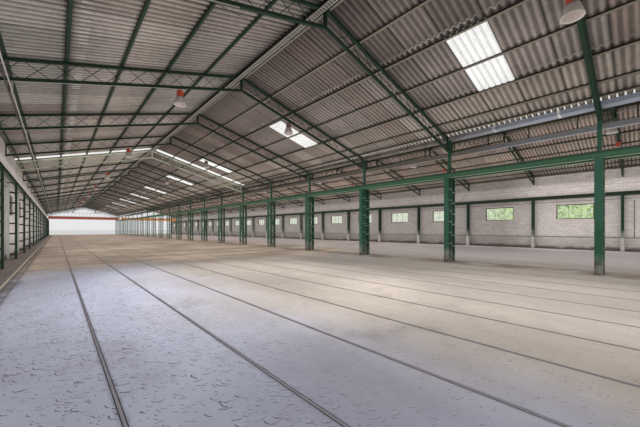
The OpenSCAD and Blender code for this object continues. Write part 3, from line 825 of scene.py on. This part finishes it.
def fibre_cement(nave, side, inner):
    """Aged corrugated sheet of one slope."""
    name = "fibre_cement_%s_%s" % ("left" if nave == LEFT else "right", "inner" if inner else "outer")
    left_outer = nave == LEFT and not inner
    look = Look(name, 0.9)
    s = look.over(look.apart(look.x, nave * RIDGE_X), COS)
    wave = corrugation(look)
    covers = look.over(look.minus(look.y, LIGHT_EDGE), COVER)
    colour = sheet_tone(look, nave, side, s, covers)
    colour = sheet_dirt_and_shade(look, colour, s, wave, covers, 1.40 if left_outer else 1.34)
    if left_outer:
        pale = look.times(leak_dashes(look, s, wave), 0.85)
    else:
        pale = look.times(lap_scallops(look, s, wave), 0.60)
    colour = look.mix(pale, colour, srgb(186, 184, 176))
    look.bump(look.noise(300, 3), 0.0003, 0.3)
    if inner:
        gutter_daylight(look, s, wave)
    return look.finish(colour)


def rooflight_sheet():
    """Translucent sheet, lit from outside, greyer on its upper crests and specked with dirt."""
    look = Look("rooflight_sheet")
    grey = look.between(corrugation(look), -0.2, 0.9)
    colour = look.mix(grey, srgb(255, 255, 254), srgb(220, 222, 219))
    colour = look.shade(colour, look.noise(26, 5, 0.6), 0.88, 1.12)
    specks = look.patches(240, 4, 0.55, 0.64, rough=0.75)
    colour = look.mix(look.times(specks, 0.75), colour, srgb(140, 138, 132))
    look.glow(colour, 0.80)
    return look.finish(look.mix(0.80, colour, srgb(60, 60, 58)))


# Floor. Soft patches of light and shade: place across the hall, place beyond frame 1, radius, strength

FLOOR_PATCHES = (
    (-0.62, 0.06, 0.50, 1.68), (-0.90, 0.68, 0.58, 1.80), (-1.02, -0.06, 0.34, 0.70),
    (-0.04, 0.80, 0.50, 0.86), (0.97, 0.70, 0.45, 0.80),
)
LILAC_ZONE = (-1.20, -0.88)
SECOND_NAVE = (0.12, 0.50)
SHEEN_ZONE = (1.14, 1.34)
FLAKE_ZONE = (-1.00, -1.20)
THICK_FLAKES = (-0.86, -1.22)
COLUMN_DIRT = (0.140, 0.095)                # from the middle of the hall
WALL_EDGE_DARK = (1.395, 1.435)


def strip_steel():
    """Flush steel strips, under dust further in."""
    look = Look("floor_steel")
    colour = look.shade(srgb(128, 123, 130), look.noise(60, 5, 0.6), 0.6, 1.4)
    dust = look.times(look.inward(2.6, 4.2), 0.85)
    return look.finish(look.mix(dust, colour, srgb(158, 145, 131)))


def blob(look, x, y, radius):
    """1 in the middle of a soft round patch of floor, 0 outside it."""
    dx, dy = look.minus(look.x, x), look.minus(look.y, y)
    far = look.plus(look.times(dx, dx), look.times(dy, dy))
    return look.between(far, radius * radius, 0.0)


def slab_tone(look):
    """Lilac-grey along the left edge, beige further right, brown far in, and a painted sheen beside the
    right wall.
    """
    wander = look.times(look.minus(look.noise(2.4, 4), 0.5), 0.4)
    x = look.plus(look.x, wander)
    y = look.plus(look.y, wander)
    colour = look.mix(look.between(x, *LILAC_ZONE), srgb(169, 172, 190), srgb(158, 149, 141))
    brown = look.shade(srgb(164, 147, 131), look.noise(3.2, 6, 0.65), 0.55, 1.45)
    drift = look.noise(1.0, 6, 0.68, look.stretched((1.6, 4.4, 1)))
    brown = look.shade(brown, look.between(drift, 0.36, 0.64), 0.70, 1.28)
    colour = look.mix(look.between(y, frame_y(3), frame_y(4)), colour, brown)
    band = look.noise(1.0, 5, 0.6, look.stretched((3.5, 1.1, 1)))
    colour = look.shade(colour, look.between(band, 0.3, 0.7), 0.84, 1.12)
    second = look.times(look.between(look.x, *SECOND_NAVE), 0.5)
    colour = look.mix(second, colour, srgb(166, 161, 165))
    # Painted sheen along the right wall
    sheen = look.times(look.between(x, *SHEEN_ZONE), look.inward(7, 5))
    sheen = look.times(sheen, look.patches(6, 4, 0.34, 0.56))
    colour = look.mix(look.times(sheen, 0.7), colour, srgb(214, 211, 214))
    for across, beyond, radius, strength in FLOOR_PATCHES:
        colour = look.shade(colour, blob(look, across, frame_y(1) + beyond, radius), 1.0, strength)
    return colour


def slab_dirt(look, colour):
    """Stains, dirt along the strips and the columns, and a darker band along the outer walls."""
    colour = look.shade(colour, look.noise(34, 6, 0.7), 0.84, 1.16)
    stains = look.patches(7, 7, 0.56, 0.70, rough=0.65)
    colour = look.mix(look.times(stains, 0.30), colour, srgb(108, 99, 92))
    out = look.absolute(look.x)
    strips = look.from_nearest(look.over(look.minus(out, STRIP_FIRST), STRIP_PITCH))
    colour = look.shade(colour, look.between(look.ragged(strips, 0.03, 40), 0.022, 0.060), 0.62, 1.0)
    wide = look.plus(out, look.times(look.noise(18, 6, 0.75), 0.09))
    row = look.times(look.between(wide, *COLUMN_DIRT), look.patches(5, 5, 0.36, 0.60, rough=0.65))
    colour = look.mix(look.times(row, 0.80), colour, srgb(100, 84, 72))
    # A darker band along the outer walls
    edge = look.between(wide, *WALL_EDGE_DARK)
    return look.mix(look.times(edge, 0.85), colour, srgb(92, 84, 78))


def flake_marks(look, scale, size, share):
    """Small peeled flakes, one in some cells of a grid: a thin painted shadow along the edge, and the pale
    curl beside it.
    """
    place = look.stretched((scale, scale, 0))
    cell = look.add("ShaderNodeTexVoronoi", {"voronoi_dimensions": "2D"}, {"Vector": place, "Scale": 1.0})
    offset = look.add("ShaderNodeVectorMath", {"operation": "SUBTRACT"}, {
        0: place, 1: cell.outputs["Position"]})
    dice = look.add("ShaderNodeSeparateColor", {}, {"Color": cell.outputs["Color"]}).outputs
    angle = look.plus(look.times(dice[0], 1.2), 0.13)
    turned = look.add("ShaderNodeVectorRotate", {"rotation_type": "Z_AXIS"}, {
        "Vector": offset.outputs[0], "Angle": angle}).outputs[0]
    u, v = look.add("ShaderNodeSeparateXYZ", {}, {"Vector": turned}).outputs[:2]
    ragged = look.times(look.minus(look.noise(2.6, 4, 0.7, place), 0.5), 0.34)
    bow = look.times(look.times(u, u), 0.8)
    curl = look.plus(look.minus(v, bow), ragged)
    reach = look.times(look.plus(dice[2], 0.4), size)
    there = look.times(look.below(dice[1], share), look.below(look.absolute(u), reach))
    # Thin painted shadow along each flake's edge
    dark = look.below(look.absolute(curl), size * 0.13)
    pale = look.below(look.apart(curl, size * 0.26), size * 0.16)
    return look.times(dark, there), look.times(pale, there)


def worn_concrete():
    """The slab, with its tones, dirt and peeled flakes, which lie thickest along the left edge."""
    look = Look("worn_concrete", 0.85)
    colour = slab_dirt(look, slab_tone(look))
    left = look.between(look.x, *FLAKE_ZONE)
    thick = look.times(look.between(look.x, *THICK_FLAKES), look.patches(7, 3, 0.40, 0.56))
    loose = look.patches(4, 4, 0.40, 0.52)
    # Cells in a metre, size of a flake in its cell, share of the cells that have one, and the zone
    layers = [(64, 0.40, 0.14, thick), (105, 0.42, 0.28, left), (190, 0.45, 0.34, left),
              (110, 0.28, 0.08, 1.0), (170, 0.34, 0.16, loose)]
    lift = 0.0
    for scale, size, share, zone in layers:
        dark, pale = [look.times(mark, zone) for mark in flake_marks(look, scale, size, share)]
        colour = look.mix(look.times(pale, 0.16), colour, srgb(200, 200, 208))
        # Painted shadows of the flakes
        colour = look.mix(look.times(dark, 0.85), colour, srgb(66, 62, 72))
        lift = look.plus(look.times(pale, 0.3), lift)
    grain = look.plus(look.times(look.noise(150, 4), 0.5), lift)
    look.bump(grain, 0.0006, 0.4)
    return look.finish(colour)


# Outer walls. Heights are over the floor

# Thin dark lines on the wall: height, half width, depth. The line at 0.343 is painted shadow under the ledge
WALL_LINES = ((0.446, 0.0014, 0.40), (0.343, 0.0018, 0.60), (0.362, 0.0012, 0.35))
GRIME_TOP, GRIME_FULL = PIPE_LINE + 0.05, PIPE_LINE + 0.01
BASE_TOP, BASE_FULL = 0.050, 0.032
GIRDER_BAND = (0.375, 0.395)
BLOCK_W, BLOCK_H, JOINT_W = 0.040, 0.020, 0.0009
COURSE_LIFT = 0.002


def height_between(look, height, start, end):
    """A soft step between two heights over the floor."""
    return look.between(height, FLOOR_Z + start, FLOOR_Z + end)


def line_at(look, height, half):
    """1 on a level line of the wall, 0 away from it."""
    return look.between(look.apart(look.z, FLOOR_Z + height), half * 1.6, half * 0.6)


def wall_grime_and_shadow(look, colour):
    """Grime low down, a dark line at the floor, thin dark lines higher up with painted shadow under the
    ledge among them, stains and flaked spots.
    """
    height = look.ragged(look.z, 0.05, 12, 5)
    colour = look.shade(colour, height_between(look, height, GRIME_TOP, GRIME_FULL), 1.0, 0.80)
    base = look.times(height_between(look, height, BASE_TOP, BASE_FULL), 0.75)
    colour = look.mix(base, colour, srgb(66, 56, 50))
    # Thin dark lines, the one at 0.343 painted shadow under the ledge
    for line, half, depth in WALL_LINES:
        colour = look.shade(colour, line_at(look, line, half), 1.0, 1 - depth)
    stain = look.patches(9, 6, 0.60, 0.74, rough=0.7)
    colour = look.mix(look.times(stain, 0.4), colour, srgb(112, 98, 88))
    spots = look.times(look.patches(60, 6, 0.59, 0.65, rough=0.75), look.patches(5, 4, 0.46, 0.58))
    return look.mix(look.times(spots, 0.7), colour, srgb(74, 64, 60))


def block_courses(look):
    """Low block courses, staggered by half a block."""
    flat = look.vector(look.y, look.plus(look.z, COURSE_LIFT))
    return look.add("ShaderNodeTexBrick", {"offset": 0.5}, {
        "Vector": flat, "Scale": 1.0, "Color1": (1, 1, 1, 1), "Color2": (0.80, 0.79, 0.78, 1),
        "Mortar": (0.46, 0.44, 0.42, 1), "Mortar Size": JOINT_W, "Mortar Smooth": 0.5,
        "Brick Width": BLOCK_W, "Row Height": BLOCK_H}).outputs


def blockwork():
    """Limewashed blocks. The right wall is painted darker beyond its second bay, as shade away from the
    daylight on its near bays, and changes tone at the girder.
    """
    look = Look("painted_blockwork", 0.9)
    courses = block_courses(look)
    colour = look.shade(srgb(196, 188, 183), look.noise(5, 6, 0.6), 0.84, 1.12)
    colour = look.mix(0.65, colour, courses["Color"], "MULTIPLY")
    colour = look.shade(colour, look.noise(1.0, 5, 0.65, look.stretched((30, 18, 60))), 0.72, 1.22)
    colour = look.shade(colour, look.noise(120, 4, 0.7), 0.86, 1.14)
    right = look.above(look.x, 0.0)
    # Painted shade on the right wall beyond its second bay
    away = look.times(look.inward(1.8, 2.5), right)
    colour = look.shade(colour, away, 1.0, 0.66)
    higher = look.times(height_between(look, look.z, *GIRDER_BAND), right)
    colour = look.mix(away, look.shade(colour, higher, 1.0, 1.25), look.shade(colour, higher, 0.86, 1.05))
    look.bump(look.times(courses["Fac"], -1.0), 0.0006, 0.6)
    return look.finish(wall_grime_and_shadow(look, colour))


def window_pane():
    """Clear glass with a mottled green painted view of the daylit green outside, paler on the windows
    further in.
    """
    look = Look("window_glass", 0.1)
    look.shader.inputs["Transmission Weight"].default_value = 1.0
    look.shader.inputs["IOR"].default_value = 1.05
    # Painted view of the daylit green outside, paler further in
    painted_view = look.patches(90, 5, 0.36, 0.55, rough=0.75)
    painted_view = look.times(painted_view, look.minus(1.0, look.times(look.inward(2.2, 3.2), 0.55)))
    mottled = look.patches(28, 4, 0.35, 0.65, rough=0.6)
    view_colour = look.mix(mottled, (0.58, 0.84, 0.32, 1), (0.26, 0.42, 0.12, 1))
    return look.finish(look.mix(painted_view, (1.0, 1.0, 0.96, 1), view_colour))


# Gutter, duct, trays, conduits and lamps

GUTTER_SEAMS = 0.2
SEAM_START = 0.1                            # from frame 1 to a seam
TRAY_LEVEL = RIDGE_Z - 0.03                 # the conduits lie below it
TRAY_RAIL = 0.0022
RUNG_PITCH = 0.0095
RUNG_SHARE = 0.36
DARK_CONDUIT = 0.094                        # conduits nearer to the left wall than this are dark


def gutter_sheet():
    """Blue-grey gutter and duct, dull grey further in, with whitish seams in the gutter."""
    look = Look("galvanised_sheet", 0.5)
    colour = look.mix(look.patches(3, 4, 0.4, 0.6), srgb(146, 148, 154), srgb(140, 146, 160))
    colour = look.shade(colour, look.noise(24, 5, 0.6), 0.82, 1.15)
    seam = look.from_nearest(look.over(look.minus(look.y, frame_y(1) + SEAM_START), GUTTER_SEAMS))
    mark = look.between(look.ragged(seam, 0.02, 60, 3), 0.040, 0.020)
    in_gutter = look.below(look.absolute(look.x), VALLEY_HALF * 1.1)
    mark = look.times(mark, look.times(in_gutter, 0.8))
    colour = look.mix(mark, colour, srgb(214, 216, 218))
    # A darker, mottled grey in the gutter further in
    far_grey = look.shade(srgb(96, 90, 82), look.patches(46, 5, 0.35, 0.65, rough=0.7), 0.45, 1.55)
    dull = look.shade(srgb(124, 119, 112), look.noise(30, 5, 0.7), 0.70, 1.30)
    return look.finish(look.mix(look.inward(1.3, 2.2), colour, look.mix(in_gutter, dull, far_grey)))


def tray_metal():
    """Dusty ladder trays with painted rungs and painted shade in the gaps between them, pale conduits, and
    dark ones at the wall.
    """
    look = Look("tray_metal")
    trays = look.above(look.z, TRAY_LEVEL)
    outer = look.below(look.x, DARK_CONDUIT - WALL_X)
    conduits = look.mix(outer, srgb(160, 157, 150), srgb(58, 54, 50))
    colour = look.mix(trays, conduits, srgb(140, 136, 128))
    colour = look.shade(colour, look.noise(60, 5, 0.7), 0.62, 1.30)
    off = look.minus(look.absolute(look.x), RIDGE_X + TRAY_OFF)
    inside = look.times(look.below(look.absolute(off), TRAY_W / 2 - TRAY_RAIL), trays)
    rung = look.below(look.math("FRACT", look.over(look.y, RUNG_PITCH)), RUNG_SHARE)
    # Painted shade in the gaps between the rungs
    gap = look.times(inside, look.minus(1.0, rung))
    return look.finish(look.mix(look.times(gap, 0.9), colour, srgb(52, 48, 44)))


def lamp_enamel():
    """Orange-red housings. Those on the inner slopes are a dusty brown beyond frame 2."""
    look = Look("lamp_enamel", 0.4)
    inner = look.below(look.absolute(look.x), RIDGE_X)
    nearest = look.below(look.y, frame_y(2))
    brown = look.times(inner, look.minus(1.0, nearest))
    colour = look.mix(brown, srgb(182, 78, 54), srgb(112, 94, 84))
    return look.finish(look.shade(colour, look.noise(60, 6, 0.6), 0.75, 1.2))


def bell_enamel():
    """Milky, dusty bells."""
    look = Look("lamp_reflector", 0.3)
    return look.finish(look.shade(srgb(196, 186, 180), look.noise(60, 4), 0.8, 1.15))


# Finish of every slot that the record names
looks = {
    "worn_concrete": worn_concrete(),
    "floor_steel": strip_steel(),
    "kerb_concrete": plain_surface("kerb_concrete", (174, 163, 150)),
    "painted_blockwork": blockwork(),
    "window_steel": plain_surface("window_steel", (88, 74, 60), 0.3, 60),
    "window_glass": window_pane(),
    "dark_green_steel": dark_steel(),
    "white_plinth": plain_surface("white_plinth", (156, 150, 146), 0.3, 40),
    "green_steel": column_steel(),
    "girder_green": girder_paint(),
    "rail_steel": plain_surface("rail_steel", (72, 68, 64), 0.2, 40, 0.45),
    "purlin_grey": purlin_steel(),
    "fibre_cement": plain_surface("fibre_cement_cap", (120, 110, 104)),
    "rooflight_sheet": rooflight_sheet(),
    "galvanised_sheet": gutter_sheet(),
    "tray_metal": tray_metal(),
    "lamp_enamel": lamp_enamel(),
    "lamp_reflector": bell_enamel(),
    "crane_red": plain_surface("crane_red", (150, 70, 52), 0.2, 12),
    "crane_orange": plain_surface("crane_orange", (206, 134, 60), 0.2, 12),
    "crane_yellow": plain_surface("crane_yellow", (176, 148, 70), 0.2, 12),
}


def dress_nodes():
    """Gives every node of the part the finish that the record names for it."""
    for row in frame["record"]["subparts"]:
        node = nodes[row["node"]]
        node.data.materials.clear()
        node.data.materials.append(looks[row["material_slot"]])


# Light, stage and camera

WORLD_STRENGTH = 0.8
FLOOR_GLOW = 0.95
ROOF_GLOW = 1.05
FLOOR_GLOW_H = 0.004
ROOF_GLOW_H = 0.485
GLOW_W = 2 * HALF_SPAN - 0.06
GLOW_LEN = 2 * END_Y - 0.1
STAGE_HALF = 60
STAGE_DROP = 0.0005                         # keeps the stage off the slab's underside
CAMERA_X = -1.288
CAMERA_BACK = 0.0963                        # distance before frame 1
CAMERA_H = 0.142                            # over the floor
CAMERA_TURN = 42.01                         # degrees to the right of the hall's length
SENSOR_W = 36
LENS = 16.453
LENS_SHIFT = 0.0247


def area_light(name, place, size, radiance, turn=(0, 0, 0)):
    """A wide soft lamp that the camera doesn't see. Radiance 1 lights a facing surface to its own colour."""
    lamp = bpy.data.lights.new(name, "AREA")
    lamp.shape = "RECTANGLE"
    lamp.size, lamp.size_y = size
    lamp.energy = radiance * math.pi * size[0] * size[1]
    lamp_object = bpy.data.objects.new(name, lamp)
    lamp_object.location = place
    lamp_object.rotation_euler = turn
    lamp_object.visible_camera = False
    lamp_object.visible_glossy = False
    bpy.context.scene.collection.objects.link(lamp_object)


def build_light():
    """White daylight all round, and in each nave a soft lamp over the floor and one under the roof."""
    world = bpy.data.worlds.new("studio")
    bpy.context.scene.world = world
    world.use_nodes = True
    background = world.node_tree.nodes["Background"]
    background.inputs["Color"].default_value = (1, 1, 1, 1)
    background.inputs["Strength"].default_value = WORLD_STRENGTH
    for nave in (LEFT, RIGHT):
        low = (nave * RIDGE_X, 0, FLOOR_Z + FLOOR_GLOW_H)
        high = (nave * RIDGE_X, 0, FLOOR_Z + ROOF_GLOW_H)
        area_light("floor_glow", low, (GLOW_W, GLOW_LEN), FLOOR_GLOW, (math.pi, 0, 0))
        area_light("roof_glow", high, (GLOW_W, GLOW_LEN), ROOF_GLOW)


def build_stage():
    """A plain pale ground under the slab."""
    mesh = bpy.data.meshes.new("stage_floor")
    corners = [(x * STAGE_HALF, y * STAGE_HALF, 0) for x, y in ((-1, -1), (1, -1), (1, 1), (-1, 1))]
    mesh.from_pydata(corners, [], [(0, 1, 2, 3)])
    floor = bpy.data.objects.new("stage_floor", mesh)
    bpy.context.scene.collection.objects.link(floor)
    mesh.materials.append(plain_surface("stage_paint", (232, 232, 230), 0.01, 1, 0.9))
    floor.location.z = -STAGE_DROP


def build_camera():
    """The photograph's own view: inside the left nave, level, looking across the hall."""
    camera = bpy.data.cameras.new("camera")
    camera.sensor_width = SENSOR_W
    camera.lens = LENS
    camera.shift_y = LENS_SHIFT
    camera.clip_start = 0.01
    camera_object = bpy.data.objects.new("camera", camera)
    camera_object.location = (CAMERA_X, frame_y(1) - CAMERA_BACK, FLOOR_Z + CAMERA_H)
    camera_object.rotation_euler = (math.radians(90), 0, math.radians(-CAMERA_TURN))
    bpy.context.scene.collection.objects.link(camera_object)
    bpy.context.scene.camera = camera_object


build_camera()
dress_nodes()
build_roof()
build_rods()
build_column_ties()
build_window_bars()
build_wall_conduits()
build_duct_straps()
build_lamps()
build_cables()
build_rafter_cable()
build_stage()
build_light()
bpy.context.scene.view_settings.view_transform = "Standard"
